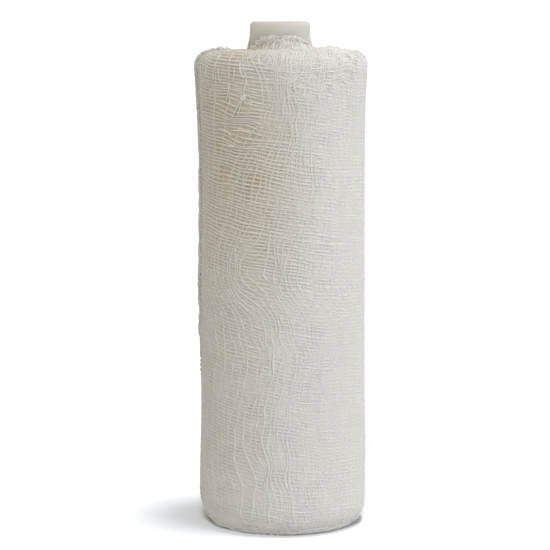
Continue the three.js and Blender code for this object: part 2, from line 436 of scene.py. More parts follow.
def add_node(nodes, kind, inputs=None, **settings):
    node = nodes.new(kind)
    for key, value in settings.items():
        setattr(node, key, value)
    for socket, value in (inputs or {}).items():
        if isinstance(value, bpy.types.NodeSocket):
            node.id_data.links.new(value, node.inputs[socket])
        else:
            node.inputs[socket].default_value = value
    return node


def new_material(name):
    material = bpy.data.materials.new(name)
    material.use_nodes = True
    material.node_tree.nodes.clear()
    return material, material.node_tree.nodes


def noise_scale(size_mm):
    """The Noise node's scale for features of this size, as coordinates are in metres."""
    return 1 / (size_mm * MM)


# %% [markdown]
# ### Yarn soaked with zinc paste
# The yarn is bleached cotton, spun, woven, and then soaked. It could be a plain white surface, but that
# looks like plaster. Light goes a little way into paste and comes out warmer, so some of it is scattered
# under the surface. Where the paste lies thin, the yarn is warmer, and an attribute says where. That
# attribute also paints light and shade: the yarn is painted darker and warmer on the left, away from the
# light, and lighter on the lit right front and toward the foot.

# %% Zinc-paste-soaked cotton yarn
# Off-white and dull, with a faint sheen that stands for the ends of fibres. A fibre is 0.015 mm thick,
# far too fine to show, so the noise that roughens the yarn is drawn coarser, at 0.11 mm.
SMEAR_SIZE, FIBRE_SIZE = 1.6, 0.11  # mm
SCATTER = (1.0, 0.9, 0.7)  # how far red, green and blue light spread inside the paste, one to the other


def paste_soaked_cotton(name, scatter, thin_paste_and_shade="#E1DACC", thick_paste_and_light="#E9E7E3"):
    material, nodes = new_material(name)
    place = add_node(nodes, "ShaderNodeTexCoord").outputs["Object"]
    smear = add_node(nodes, "ShaderNodeTexNoise", {
        "Vector": place, "Scale": noise_scale(SMEAR_SIZE), "Detail": 3.0})
    fibre = add_node(nodes, "ShaderNodeTexNoise", {
        "Vector": place, "Scale": noise_scale(FIBRE_SIZE), "Detail": 2.0})
    # How much paste lies on the yarn; it also paints shade on the left and light on the lit right front and
    # foot.
    cover = add_node(nodes, "ShaderNodeAttribute", attribute_name="pasted").outputs["Fac"]
    shade = add_node(nodes, "ShaderNodeMath", {0: smear.outputs["Fac"], 1: 0.5, 2: cover},
                     operation="MULTIPLY_ADD")
    colour = add_node(nodes, "ShaderNodeValToRGB", {"Fac": shade.outputs[0]})
    colour.color_ramp.elements[0].position = 0.15
    colour.color_ramp.elements[0].color = linear(thin_paste_and_shade)
    colour.color_ramp.elements[1].position = 1.0
    colour.color_ramp.elements[1].color = linear(thick_paste_and_light)
    bump = add_node(nodes, "ShaderNodeBump", {"Height": fibre.outputs["Fac"], "Strength": 0.5,
                                              "Distance": 0.06 * MM})
    shader = add_node(nodes, "ShaderNodeBsdfPrincipled", {
        "Base Color": colour.outputs["Color"], "Roughness": 0.72, "IOR": 1.5, "Sheen Weight": 0.12,
        "Sheen Roughness": 0.5, "Subsurface Weight": scatter, "Subsurface Radius": SCATTER,
        "Subsurface Scale": 0.35 * MM, "Normal": bump.outputs["Normal"]})
    add_node(nodes, "ShaderNodeOutputMaterial", {"Surface": shader.outputs["BSDF"]})
    return material


# Fibres that are teased out of a thread are too thin to hold light inside them, so none is scattered
# under their surface. Their colours are painted lighter than the yarn's: painted light, which lifts the
# shade that falls among loose fibres.
yarn_material = paste_soaked_cotton("paste_soaked_cotton_yarn", 0.6)
fibre_material_painted_lighter = paste_soaked_cotton("teased_cotton_fibres_painted_lighter", 0.0, "#E5DFD2", "#EFEDE9")
print("made", yarn_material.name, "and", fibre_material_painted_lighter.name)


# %% [markdown]
# ### Zinc paste in the meshes
# Between the threads of the outer ply shows the ply below, sunk in paste. Its threads could be tubes as
# well, but they are half hidden, and only low ridges are seen. So they are a bump that follows two counts
# kept on the mesh: the ridges run as a weave does, and stay in place from every side.

# %% Zinc paste over the next ply
# Dull, and yellower than the yarn, as paste is. It is also painted darker than the yarn: painted shade,
# as it lies deeper between the threads. Its grain is the zinc oxide's lumps, which are some 0.05 mm and
# drawn at 0.2 mm.
PASTE_SMEAR_SIZE, PASTE_GRAIN_SIZE = 2.4, 0.2  # mm


def zinc_paste():
    material, nodes = new_material("zinc_paste_over_gauze")
    place = add_node(nodes, "ShaderNodeTexCoord").outputs["Object"]
    ridges = []
    for key in ("under_warp", "under_weft"):
        count = add_node(nodes, "ShaderNodeAttribute", attribute_name=key).outputs["Fac"]
        turn = add_node(nodes, "ShaderNodeMath", {0: count, 1: TAU}, operation="MULTIPLY")
        wave = add_node(nodes, "ShaderNodeMath", {0: turn.outputs[0]}, operation="COSINE")
        ridges.append(wave.outputs[0])
    thread = add_node(nodes, "ShaderNodeMath", {0: ridges[0], 1: ridges[1]}, operation="MAXIMUM")
    shown = add_node(nodes, "ShaderNodeAttribute", attribute_name="woven").outputs["Fac"]
    thread = add_node(nodes, "ShaderNodeMath", {0: thread.outputs[0], 1: shown}, operation="MULTIPLY")
    smear = add_node(nodes, "ShaderNodeTexNoise", {
        "Vector": place, "Scale": noise_scale(PASTE_SMEAR_SIZE), "Detail": 4.0})
    grain = add_node(nodes, "ShaderNodeTexNoise", {
        "Vector": place, "Scale": noise_scale(PASTE_GRAIN_SIZE), "Detail": 3.0})
    # How much paste fills the meshes; it also paints shade on the left and light on the lit right front and
    # foot.
    cover = add_node(nodes, "ShaderNodeAttribute", attribute_name="pasted").outputs["Fac"]
    shade = add_node(nodes, "ShaderNodeMath", {0: thread.outputs[0], 1: 0.12, 2: smear.outputs["Fac"]},
                     operation="MULTIPLY_ADD")
    shade = add_node(nodes, "ShaderNodeMath", {0: shade.outputs[0], 1: 0.6, 2: cover},
                     operation="MULTIPLY_ADD")
    colour = add_node(nodes, "ShaderNodeValToRGB", {"Fac": shade.outputs[0]})
    colour.color_ramp.elements[0].position = 0.1
    colour.color_ramp.elements[0].color = linear("#C0B698")
    colour.color_ramp.elements[1].position = 1.0
    colour.color_ramp.elements[1].color = linear("#E5E2DC")
    weave = add_node(nodes, "ShaderNodeBump", {"Height": thread.outputs[0], "Strength": 0.6,
                                               "Distance": 0.06 * MM})
    bump = add_node(nodes, "ShaderNodeBump", {"Height": grain.outputs["Fac"], "Strength": 0.5,
                                              "Distance": 0.08 * MM, "Normal": weave.outputs["Normal"]})
    shader = add_node(nodes, "ShaderNodeBsdfPrincipled", {
        "Base Color": colour.outputs["Color"], "Roughness": 0.62, "IOR": 1.47, "Subsurface Weight": 0.6,
        "Subsurface Radius": SCATTER, "Subsurface Scale": 0.35 * MM, "Normal": bump.outputs["Normal"]})
    add_node(nodes, "ShaderNodeOutputMaterial", {"Surface": shader.outputs["BSDF"]})
    return material


paste_material = zinc_paste()
print("made", paste_material.name)


# %% [markdown]
# ### Moulded plastic
# The core is injection-moulded from polyethylene without a dye. It could be a grey-white surface, but then
# its lit side and its dark side would differ far more than they do: light goes several millimetres into
# this plastic, nearly evenly in all colours, and comes out all round the thin wall.

# %% Moulded low-density polyethylene
# Milky and waxy, with a soft highlight and the fine matt grain of the mould. That grain is some 0.05 mm
# and drawn at 0.25 mm.
CLOUD_SIZE, MOULD_GRAIN_SIZE = 5, 0.25  # mm


def moulded_polyethylene():
    material, nodes = new_material("moulded_polyethylene")
    place = add_node(nodes, "ShaderNodeTexCoord").outputs["Object"]
    cloud = add_node(nodes, "ShaderNodeTexNoise", {
        "Vector": place, "Scale": noise_scale(CLOUD_SIZE), "Detail": 2.0})
    grain = add_node(nodes, "ShaderNodeTexNoise", {
        "Vector": place, "Scale": noise_scale(MOULD_GRAIN_SIZE), "Detail": 2.0})
    colour = add_node(nodes, "ShaderNodeValToRGB", {"Fac": cloud.outputs["Fac"]})
    colour.color_ramp.elements[0].position = 0.35
    colour.color_ramp.elements[0].color = linear("#C5C3BB")
    colour.color_ramp.elements[1].position = 0.7
    colour.color_ramp.elements[1].color = linear("#CCCAC3")
    bump = add_node(nodes, "ShaderNodeBump", {"Height": grain.outputs["Fac"], "Strength": 0.25,
                                              "Distance": 0.03 * MM})
    shader = add_node(nodes, "ShaderNodeBsdfPrincipled", {
        "Base Color": colour.outputs["Color"], "Roughness": 0.42, "IOR": 1.51, "Subsurface Weight": 1.0,
        "Subsurface Radius": (1.0, 0.97, 0.9), "Subsurface Scale": 6 * MM,
        "Normal": bump.outputs["Normal"]})
    add_node(nodes, "ShaderNodeOutputMaterial", {"Surface": shader.outputs["BSDF"]})
    return material


plastic_material = moulded_polyethylene()
print("made", plastic_material.name)

# %% [markdown]
# ## The paste bed
# Under the outer threads lies everything that was wound before: paste and the plies below. All the plies
# could be wound one by one, but only the outermost shows. So this is one closed skin, from under the foot
# up to the neck and down the bore, a little under the imported surface. Where more paste fills the meshes,
# the skin lies higher and the threads on it are whiter. The whiteness is also painted light and shade: the
# share is low on the left, away from the light, and high on the lit right front, and toward the foot the
# paste and threads are painted lighter with bounce light from the floor.

# %% Where the paste fills the meshes
# Share of the meshes' depth that is filled, at each angle round the roll in degrees. It also sets how light
# the yarn and the paste are coloured, so its low values on the left paint shade and its high ones on the
# lit right front paint light.
COVER_AND_PAINTED_LIGHT = [(-90, 0.4), (-70, 0.25), (-45, 0.1), (-20, 0.12), (0, 0.3), (20, 0.55), (40, 0.82), (55, 0.9),
         (100, 0.92), (140, 0.6), (180, 0.3), (240, 0.4), (272, 0.35)]
PASTE_FILL = 0.15  # mm that full meshes stand higher than empty ones
PATCHES = 0.05  # how much the filling varies from place to place
# Toward the foot the meshes hold more paste, and threads and paste are painted lighter with bounce light
# from the floor.
FOOT_FILLED, FOOT_PAINTED_BOUNCE_LIGHT = 0.3, 0.7  # extra paste in the foot's meshes, and painted bounce light
FOOT_FADE = 80  # length in mm at which that ends
TOP_FILLED, RIGHT_TOP_FILLED = 0.15, 0.2  # how much more the shoulder has, all round and at the right front
SHOULDER_FROM = 90  # height in mm at which the shoulder's extra paste starts


# The share of paste at a place. Where it colours yarn and paste, it also paints light and shade.
def paste_cover(turn, length, at_foot=FOOT_PAINTED_BOUNCE_LIGHT):
    azimuth = azimuth_of(turn, length)
    degrees = np.degrees(azimuth)
    paste_patches_and_light = PATCHES * drift(45, 16)(azimuth * ROLL_RADIUS, length)
    # Toward the foot: more paste in the bed, and in the colours painted bounce light from the floor.
    paste_patches_and_light = paste_patches_and_light + at_foot * np.clip(1 - length / FOOT_FADE, 0, 1)
    over_top = TOP_FILLED + RIGHT_TOP_FILLED * np.exp(-((degrees - 35) / 50) ** 4)
    paste_patches_and_light = paste_patches_and_light + over_top * np.clip((length - length_at(SHOULDER_FROM)) / 5, 0, 1)
    return np.clip(from_table(COVER_AND_PAINTED_LIGHT, degrees) + paste_patches_and_light, 0, 1)


# %% Model the bed
BED_SINK = 0.19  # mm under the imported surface
BED_TURNS = 300
BED_LENGTHS = 290
UNDER_WARP_PITCH, UNDER_WEFT_PITCH = 0.75, 1.6  # of the ply below, in mm
BORE_HEIGHTS = [98.6, 74, 50, 25, 0.8]  # from the neck down the bore, in mm
BORE_RADIUS = 7.2


def paste_bed():
    turn = np.linspace(TURN_START, TURN_END, BED_TURNS)[:, None]
    length = np.linspace(0, CLOTH_END, BED_LENGTHS)[None]
    azimuth = azimuth_of(turn, length)
    arc = azimuth * ROLL_RADIUS
    cover = paste_cover(turn, length, FOOT_FILLED)
    lumps = (0.06 * drift(41, 3.2)(arc, length) + 0.03 * drift(42, 1.3)(arc, length)) * (1 - 0.7 * cover)
    on_foot = np.clip((length - 3) / 6, 0, 1)
    points, _ = on_roll(turn, length, (lumps - BED_SINK + PASTE_FILL * cover) * on_foot)
    bore_azimuth = np.repeat(azimuth[:, -1:], len(BORE_HEIGHTS), axis=1)
    bore = np.stack([CORE_X + BORE_RADIUS * np.sin(bore_azimuth), -BORE_RADIUS * np.cos(bore_azimuth),
                     np.broadcast_to(BORE_HEIGHTS, bore_azimuth.shape)], axis=-1)
    points = np.concatenate([points, bore], axis=1)
    faces = wrapped_faces(*points.shape[:2])

    sway = 0.12 * from_table(WEFT_SWAY, outline_at(length)[1])
    under_warp = (length + 1.3 * np.sin(azimuth) + 0.3 * drift(43, 9)(arc, length)) / UNDER_WARP_PITCH
    under_weft = (arc + sway + 0.8 * drift(44, 8)(arc, length)) / UNDER_WEFT_PITCH
    woven = np.clip((length - CLOTH_BOTTOM + 1) / 2, 0, 1) * np.ones_like(arc)
    pad = [(0, 0), (0, len(BORE_HEIGHTS))]
    marks = {"under_warp": under_warp, "under_weft": under_weft, "woven": woven,
             "pasted": paste_cover(turn, length)}
    marks = {key: np.pad(values, pad, mode="edge").ravel() for key, values in marks.items()}
    bed = make_piece("paste_bed", points.reshape(-1, 3), faces, paste_material, "gauze", marks)
    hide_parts("bandage_roll")


paste_bed()

# %% [markdown]
# ## The outer ply, thread by thread
# Warp and weft cross in plain weave. A flat sheet with holes could stand for them, but not the way they
# pass over and under. So each thread is a tube that swings in and out as it passes those it meets: slowly
# where they stand apart, and quickly where they crowd. Spun cotton is uneven, so each thread has thick and
# thin stretches and a few slubs.

# %% How thick a thread is along its length
WARP_RADIUS = 0.2  # all in mm
WEFT_RADIUS = 0.19
CROSSING = 0.045  # how far a thread's middle swings in and out
THREAD_SINK = 0.13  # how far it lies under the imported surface


def yarn_radius(radius, threads, steps, step_mm, seed):
    dice = np.random.default_rng(seed)
    along = np.arange(steps) * step_mm
    row = dice.uniform(0, 900, (threads, 1))
    uneven = 1 + 0.10 * drift(seed, 2.2)(along, row) + 0.07 * drift(seed + 1, 9)(along, row)
    own = dice.uniform(0.88, 1.14, (threads, 1))
    slub_at = dice.uniform(0, steps * step_mm, (threads, 3, 1))
    slubs = np.exp(-((along - slub_at) / 0.7) ** 2).sum(axis=1) * dice.uniform(0, 0.45, (threads, 1))
    return radius * own * (uneven + slubs)


def lay_yarn(name, *layers, material=yarn_material, least_paste_and_painted_light=0):
    """One piece of yarn. Each layer is turn, length, lift and radius, as arrays of threads x steps."""
    sets, cover = [], []
    for turn, length, lift, radius in layers:
        turn, length = np.broadcast_arrays(turn, length)
        paths, normals = on_roll(turn, length, lift)
        sets.append(tubes(paths, normals, radius))
        pasted = np.maximum(paste_cover(turn, length), least_paste_and_painted_light)
        cover.append(np.repeat(pasted.ravel(), TUBE_SIDES))
    return make_piece(name, *join(sets), material, "gauze", {"pasted": np.concatenate(cover)})


# %% Lay the warp
WARP_STEPS, WARP_STEP = 264, 0.41  # points on each thread, and about how many mm apart they are
# On the left front the weft was dragged over the warp and stands a little proud of it, in mm.
DRAGGED_AT, DRAGGED_REACH, DRAGGED_RISE = -30, 34, 0.05
# Share of that at each height in mm. Below nought the warp is proud instead.
DRAGGED_SHARE = [(0, 1), (58, 1), (66, -0.8), (86, -0.8), (92, 0.3)]


def dragged(turn, length):
    away = (np.degrees(azimuth_of(turn, length)) - DRAGGED_AT) / DRAGGED_REACH
    return from_table(DRAGGED_SHARE, outline_at(length)[1]) * np.exp(-away ** 4)


def lay_warp():
    turn = np.linspace(TURN_START, TURN_END, WARP_STEPS) * np.ones((warp_count, 1))
    length = np.stack([np.interp(turn[0], field_turns, row) for row in warps])
    count = count_at(weft_number, turn, length)
    swing = CROSSING * np.cos(math.pi * (count + np.arange(warp_count)[:, None]))
    swing = swing - 0.5 * DRAGGED_RISE * dragged(turn, length)
    radius = yarn_radius(WARP_RADIUS, warp_count, WARP_STEPS, WARP_STEP, 51)
    half = warp_count // 2
    for name, part in (("warp_threads_low", slice(0, half)), ("warp_threads_high", slice(half, None))):
        lay_yarn(name, (turn[part], length[part], swing[part] - THREAD_SINK, radius[part]))


lay_warp()

# %% Lay the weft
WEFT_STEPS, WEFT_STEP = 280, 0.36  # as for the warp
WEFT_PAST = 0.35  # mm that the weft runs past the first and the last warp thread
# Degrees round the roll where several threads stuck together, near the top and near the foot.
HEAVY_AT_TOP = [3, 8, 18, 23]
HEAVY_AT_FOOT = [-29, -19, -9, 1, 6]
HEAVIER = 0.45  # share by which they are thicker near the top, and half as much near the foot


def lay_weft():
    share = np.linspace(0, 1, WEFT_STEPS)
    low = np.interp(wefts[:, AT_EDGE], field_turns, warps[0])[:, None] - WEFT_PAST
    high = np.interp(wefts[:, -AT_EDGE], field_turns, warps[-1])[:, None] + WEFT_PAST
    length = low + (high - low) * share
    turn = np.stack([np.interp(row_length, field_lengths, row) for row_length, row in zip(length, wefts)])
    count = count_at(warp_number, turn, length)
    swing = -CROSSING * np.cos(math.pi * (count + np.arange(weft_count)[:, None]))
    swing = swing + DRAGGED_RISE * dragged(turn, length)
    radius = yarn_radius(WEFT_RADIUS, weft_count, WEFT_STEPS, WEFT_STEP, 61)
    degrees = np.degrees(azimuth_of(turn, length))
    near_top = np.clip((share - 0.72) / 0.1, 0, 1)
    near_foot = 0.5 * np.clip((0.28 - share) / 0.1, 0, 1)
    for places, at, near in ((HEAVY_AT_TOP, 0.88, near_top), (HEAVY_AT_FOOT, 0.1, near_foot)):
        for place in places:
            nearest = np.abs(degrees[:, int(at * WEFT_STEPS)] - place).argmin()
            radius[nearest] *= 1 + HEAVIER * near
    half = weft_count // 2
    for name, part in (("weft_threads_front", slice(0, half)), ("weft_threads_back", slice(half, None))):
        lay_yarn(name, (turn[part], length[part], swing[part] - THREAD_SINK, radius[part]))
    return turn, length


weft_turn, weft_length = lay_weft()

# %% [markdown]
# ## Woven edges, turned plies and the cut end
# A weft thread turns back at each woven edge and becomes the next one, so an edge is a row of small loops.
# Inside the outer ply lie the edges of all the turns before it, pressed together. They could be a spiral
# groove in the bed, but the light catches each edge, so they are rings of yarn. At the cut end the warp is
# free, and its ends stand off the ply below by up to a millimetre.

# %% Turn the weft back at both woven edges
LOOP_REACH = 0.5  # mm past the last warp thread


def selvedge_loops():
    dice = np.random.default_rng(65)
    bend = np.linspace(0, math.pi, 9)
    layers = []
    for end, first, side in ((0, 0, -1), (-1, 1, 1)):
        start, stop = weft_turn[first:-1:2, end, None], weft_turn[first + 1::2, end, None]
        edge = (weft_length[first:-1:2, end, None] + weft_length[first + 1::2, end, None]) / 2
        turn = (start + stop) / 2 - (stop - start) / 2 * np.cos(bend)
        reach = LOOP_REACH * dice.uniform(0.2, 1.3, edge.shape)
        lift = dice.uniform(-0.2, -0.08, edge.shape)
        layers.append((turn, edge + side * (0.15 + reach * np.sin(bend)), lift, WEFT_RADIUS))
    return lay_yarn("selvedge_loops", *layers)


selvedge_loops()

# %% Lay the edges of the inner turns
PLY = 0.42  # mm from one turn to the next
RING_STEPS, RING_STEP = 200, 0.4  # points on each ring, and about how many mm apart they are


def wound_edges(name, first, last, seed):
    """A ring of yarn for each turn between two lengths of the outline, wavering as pressed edges do."""
    rings = int(abs(last - first) / PLY)
    turn = np.linspace(TURN_START, TURN_END, RING_STEPS) * np.ones((rings, 1))
    ring = np.arange(rings)[:, None]
    length = first + (last - first) * (ring + turn / TAU) / rings
    length = length + 0.1 * drift(seed, 2.5)(turn * 12, ring * 9)
    lift = -0.06 + 0.1 * drift(seed + 1, 1.8)(turn * 12, ring * 7)
    radius = yarn_radius(WARP_RADIUS, rings, RING_STEPS, RING_STEP, seed + 2)
    return lay_yarn(name, (turn, length, lift, radius))


wound_edges("wound_edges_top", CLOTH_END - 0.9, CLOTH_END - 8.2, 91)
wound_edges("wound_edges_foot", 0.2, 8.4, 95)

# %% Fray the cut end
FRAY_STEPS = 10
# Where tufts of the cut end stand out: height, reach up and down, and how far in mm.
TUFTS = [(65, 1.5, 0.35), (56, 2, 0.25), (50, 2.5, 0.3), (33, 2.5, 0.35), (88, 2, 0.2), (13, 3, 0.2)]


def frayed_end():
    dice = np.random.default_rng(71)
    share = np.linspace(0, 1, FRAY_STEPS)
    height = outline_at(warps[:, 0])[1]
    tuft = sum(mm * np.exp(-((height - at) / reach) ** 2) for at, reach, mm in TUFTS)[:, None]
    reach = dice.uniform(0.7, 2.4, (warp_count, 1)) + 1.5 * tuft
    turn = TURN_START + share * reach / ROLL_RADIUS
    bunch = 0.45 * drift(72, 2.2)(warps[:, :1], 0 * share) + dice.uniform(-0.3, 0.3, (warp_count, 1))
    length = warps[:, :1] + bunch * share
    rise = (dice.uniform(0, 0.15, (warp_count, 1)) + tuft) * np.sin(0.75 * math.pi * share) ** 2
    lift = 0.03 + 0.3 * np.exp(-share * reach / 0.9) + rise
    return lay_yarn("frayed_end", (turn, length, lift, WARP_RADIUS * (1 - 0.3 * share)))


frayed_end()

# %% Let the last weft threads hang along the cut
# Where they lie: turn in radians, and how far off the cloth in mm. Two hang in the corner of the step.
WEFTS_ALONG_CUT = [(TURN_END - 0.014, 0.02), (TURN_START + 0.002, 0.36), (TURN_START + 0.012, 0.2),
                   (TURN_START + 0.03, 0.08)]
LAST_WEFT_SWAY = 0.011  # radians
LAST_WEFT_RISE = 0.06  # mm


def last_wefts():
    length = np.linspace(CLOTH_BOTTOM, CLOTH_BOTTOM + CLOTH_WIDTH, WEFT_STEPS)[None]
    turn, lift = np.array(WEFTS_ALONG_CUT).T[:, :, None]
    turn = turn + LAST_WEFT_SWAY * drift(74, 3)(turn * 900, length)
    lift = lift + LAST_WEFT_RISE * drift(75, 2)(turn * 900, length)
    radius = yarn_radius(WEFT_RADIUS, len(turn), WEFT_STEPS, WEFT_STEP, 76)
    return lay_yarn("last_wefts", (np.clip(turn, TURN_START, TURN_END), length, lift, radius))


last_wefts()

# %% [markdown]
# ## Loose and tangled yarn
# Where the bandage was started and cut, threads came loose. At the top front lies a crumpled layer, from
# the shoulder to the neck. It could be a handful of random curves, but it is still cloth: two sets of
# threads that cross. So it is a small net of its own, closer than the ply below and shoved about. Its ends
# dip into the paste, and toward the neck, where there is less room, more and more upright threads end.

# %% Crumple a second layer of weave over the shoulder
NET_FROM, NET_TO = -36, 100  # degrees round the roll
NET_FOOT = 88  # height of its lower end in mm
NET_PITCH = 0.8  # mm from thread to thread
NET_STEP = 0.3  # mm between the points of a thread
NET_SHOVE = 0.45  # mm that it is shoved about
NET_DIP = 0.4  # mm that an end goes under
NET_SLANT = 0.25  # mm to the right for each mm up


def crumpled_net():
    dice = np.random.default_rng(81)
    bottom = length_at(NET_FOOT)
    wide, tall = math.radians(NET_TO - NET_FROM) * ROLL_RADIUS, CLOTH_END - bottom
    shove_aside, shove_up, swell = drift(82, 2.6), drift(83, 2.6), drift(85, 1.3)
    layers = []
    for run, room, upright in ((wide, tall, False), (tall, wide, True)):
        along = np.arange(0, run, NET_STEP)[None]
        row = (np.arange(0, room, NET_PITCH) + dice.uniform(-0.2, 0.2, int(room / NET_PITCH) + 1))[:, None]
        own = 0.2 * drift(88 + upright, 1.6)(along, row * 41)
        aside, up = (row + NET_SLANT * along + own, along) if upright else (along, row + own)
        aside, up = (aside + NET_SHOVE * shove_aside(aside, up), up + NET_SHOVE * shove_up(aside, up))
        from_side = np.minimum(aside, wide - aside) / 4
        from_edge = np.minimum(from_side, (up - 2.5 * (1 + shove_up(aside / 3, 0))) / 3)
        if upright:
            stop = tall * dice.uniform(0.7, 1.5, row.shape)
            from_edge = np.minimum(from_edge, (stop - up) / 0.8)
        length = np.clip(bottom + up, 0, CLOTH_END)
        turn = math.radians(NET_FROM) + aside / ROLL_RADIUS - cut_at(length)
        lift = 0.07 * swell(aside, up) - NET_DIP * np.clip(1 - from_edge, 0, 1)
        lift = lift + 0.12 * np.clip(1 - (tall - up) / 4, 0, 1)
        radius = dice.uniform(0.11, 0.15, row.shape) * np.ones_like(lift)
        layers.append((turn, length, lift, radius))
    return lay_yarn("crumpled_net", *layers, material=fibre_material_painted_lighter)


crumpled_net()

# %% [markdown]
# ### Short ends at the rim and at the foot
# Loose ends and arcs stand up to half a millimetre off the cloth, so that no clean edge parts the shoulder
# from the neck, or the foot from the floor. Hair particles could make them, but a mesh exports as it is.

# %% Ruffle the rim and the foot
RUFFLE_STEPS = 10


def ruffle(name, count, seed, degrees, start, reach):
    """Short loose ends. They lie at some degrees, with a spread, and from one length to a reach past it."""
    dice = np.random.default_rng(seed)
    share = np.linspace(0, 1, RUFFLE_STEPS)
    one_each = (count, 1)
    place = np.radians(dice.normal(*degrees, one_each))
    start = start + reach * dice.uniform(0, 1, one_each) ** 1.6
    size = dice.uniform(0.8, 2.0, one_each)
    heading = dice.uniform(-1.3, 1.3, one_each) + dice.normal(0, 0.8, one_each) * share
    length = np.minimum(start + np.cos(heading) * size * share, CLOTH_END)
    turn = place + np.sin(heading) * size * share / outline_at(length)[0] - cut_at(length)
    lift = dice.uniform(0.05, 0.5, one_each) * np.sin(math.pi * 0.8 * share) - 0.05
    radius = dice.uniform(0.09, 0.15, one_each) * (1 - 0.3 * share)
    return lay_yarn(name, (turn, length, lift, radius), material=fibre_material_painted_lighter)


ruffle("ruffled_rim", 120, 84, (6, 20), CLOTH_END - 0.3, -9)
ruffle("ruffled_foot", 150, 73, (-12, 34), 5.0, 4)

# %% [markdown]
# ### Fuzz on the neck
# The innermost turns end in a fuzz that bridges the narrow gap and clings to the plastic. The table of the
# wound form ends at that gap, so these ends are laid round the core's own axis instead: most start at the
# edge of the cloth and lean in to the neck, and the rest lie on the plastic.

# %% Let short ends climb the neck
NECK_END_COUNT = 300
NECK_END_STEPS = 8
BRIDGING = 0.75  # share of the ends near the cloth that start on it
# How high the fuzz reaches in mm, at each angle round the core in degrees.
NECK_FUZZ = [(-60, 100.5), (-47, 101.5), (-36, 102.6), (-20, 102.9), (10, 102.95), (30, 102.8), (45, 102.1),
             (62, 100.9)]
NECK_HEIGHTS, NECK_RADII = (100.2, 103.5), (6.9, 6.3)  # the core's cone, in mm


def ends_on_the_neck():
    dice = np.random.default_rng(86)
    share = np.linspace(0, 1, NECK_END_STEPS)
    one_each = (NECK_END_COUNT, 1)
    degrees = dice.uniform(NECK_FUZZ[0][0], NECK_FUZZ[-1][0], one_each)
    top = from_table(NECK_FUZZ, degrees)
    edge, _ = on_roll(np.radians(degrees) - cut_at(CLOTH_END), CLOTH_END)
    edge_height, edge_radius = edge[..., 2], np.hypot(edge[..., 0] - CORE_X, edge[..., 1])
    start = edge_height - 0.1 + np.maximum(top - edge_height, 0.2) * dice.uniform(0, 1, one_each)
    heading = dice.uniform(-math.pi, math.pi, one_each) + dice.normal(0, 0.9, one_each) * share
    size = dice.uniform(0.5, 1.5, one_each) * share
    height = np.minimum(start + np.cos(heading) * size, top + dice.uniform(-0.2, 0.3, one_each))
    angle = np.radians(degrees) + np.sin(heading) * size / NECK_RADII[1]
    off = 0.06 + dice.uniform(0, 0.25, one_each) * np.sin(math.pi * share)
    radius = np.interp(height, NECK_HEIGHTS, NECK_RADII) + off
    bridges = (dice.uniform(0, 1, one_each) < BRIDGING) & (start < edge_height + 0.7)
    radius = radius + bridges * np.maximum(edge_radius + 0.1 - radius, 0) * (1 - share) ** 1.5
    outward_here = np.stack([np.sin(angle), -np.cos(angle), 0 * angle], axis=-1)
    paths = outward_here * radius[..., None] + np.stack([CORE_X + 0 * height, 0 * height, height], axis=-1)
    points, faces = tubes(paths, outward_here, dice.uniform(0.09, 0.14, one_each))
    cover = {"pasted": np.ones(len(points))}
    return make_piece("ends_on_the_neck", points, faces, fibre_material_painted_lighter, "gauze", cover)


ends_on_the_neck()

# %% [markdown]
# ### The knot and the loose weft ends
# At the upper left a few weft threads broke. Their ends stand off the cloth, and one pair is knotted. They
# are laid one by one, as each of them shows. The knot could be sculpted, but at half a millimetre a curve
# that loops over itself a few times looks the same.

# %% Tie the knot and lay the loose weft ends
# Each row: degrees round the roll, height, and how far the end runs to the right and up, in mm.
LOOSE_ENDS = [
    (-26.7, 90.7, -1.4, -3.6), (-26.7, 90.7, -3.0, -4.4), (-26.7, 90.7, 1.8, -1.0), (-26.7, 90.7, 0.8, 3.4),
    (-71, 97.4, 1.0, -2.4), (-61, 97.2, 1.2, -2.6), (-50, 97.6, -0.6, -3.4), (-47, 96.8, 0.5, -3.0),
    (-33, 96.6, -0.3, -2.8), (-29, 98, 1.0, -3.4), (-38, 93.4, -0.7, -3.6), (-56, 92.4, 0.3, -2.2),
    (2, 91, -0.3, -3.6), (-52, 66, 1.0, -2.0), (-37, 82.8, -4.0, 1.2), (-22, 83.5, -4.6, 0.4),
    (-46, 81, 3.4, -0.4)]
KNOT_AT = LOOSE_ENDS[0][:2]
KNOT_RADIUS = 0.42  # mm
KNOT_STEPS = 60
END_STEPS = 14
END_RADIUS, KNOT_YARN_RADIUS = 0.14, 0.21  # mm


def knot_and_ends():
    dice = np.random.default_rng(87)
    share = np.linspace(0, 1, END_STEPS)
    angle, height, aside, up = np.array(LOOSE_ENDS, float).T[:, :, None]
    bow = dice.uniform(-0.8, 0.8, angle.shape) * np.sin(math.pi * share)
    length = length_at(height) + up * share + bow
    turn = np.radians(angle) + (aside * share + bow * 0.6) / ROLL_RADIUS - cut_at(length)
    lift = 0.02 + dice.uniform(0.08, 0.22, angle.shape) * np.sin(math.pi * 0.9 * share)
    ends = (turn, length, lift, END_RADIUS)
    t = np.linspace(0, TAU, KNOT_STEPS)[None]
    length = length_at(KNOT_AT[1]) + KNOT_RADIUS * np.sin(3 * t + 0.4)
    turn = math.radians(KNOT_AT[0]) + KNOT_RADIUS * np.sin(2 * t) / ROLL_RADIUS - cut_at(length)
    knot = (turn, length, 0.16 + 0.16 * np.sin(5 * t), KNOT_YARN_RADIUS)
    return lay_yarn("knot_and_ends", ends, knot, material=fibre_material_painted_lighter, least_paste_and_painted_light=0.6)


knot_and_ends()

# %% [markdown]
# ## The core
# The core is a moulded tube with a rounded rim, a short cone where it leaves the cloth, and a faint
# parting line on two sides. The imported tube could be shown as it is, but its 48 sides show at the rim. So
# it is turned again with fine sides, from an outline that runs up the outside, over the rim and down the
# bore.

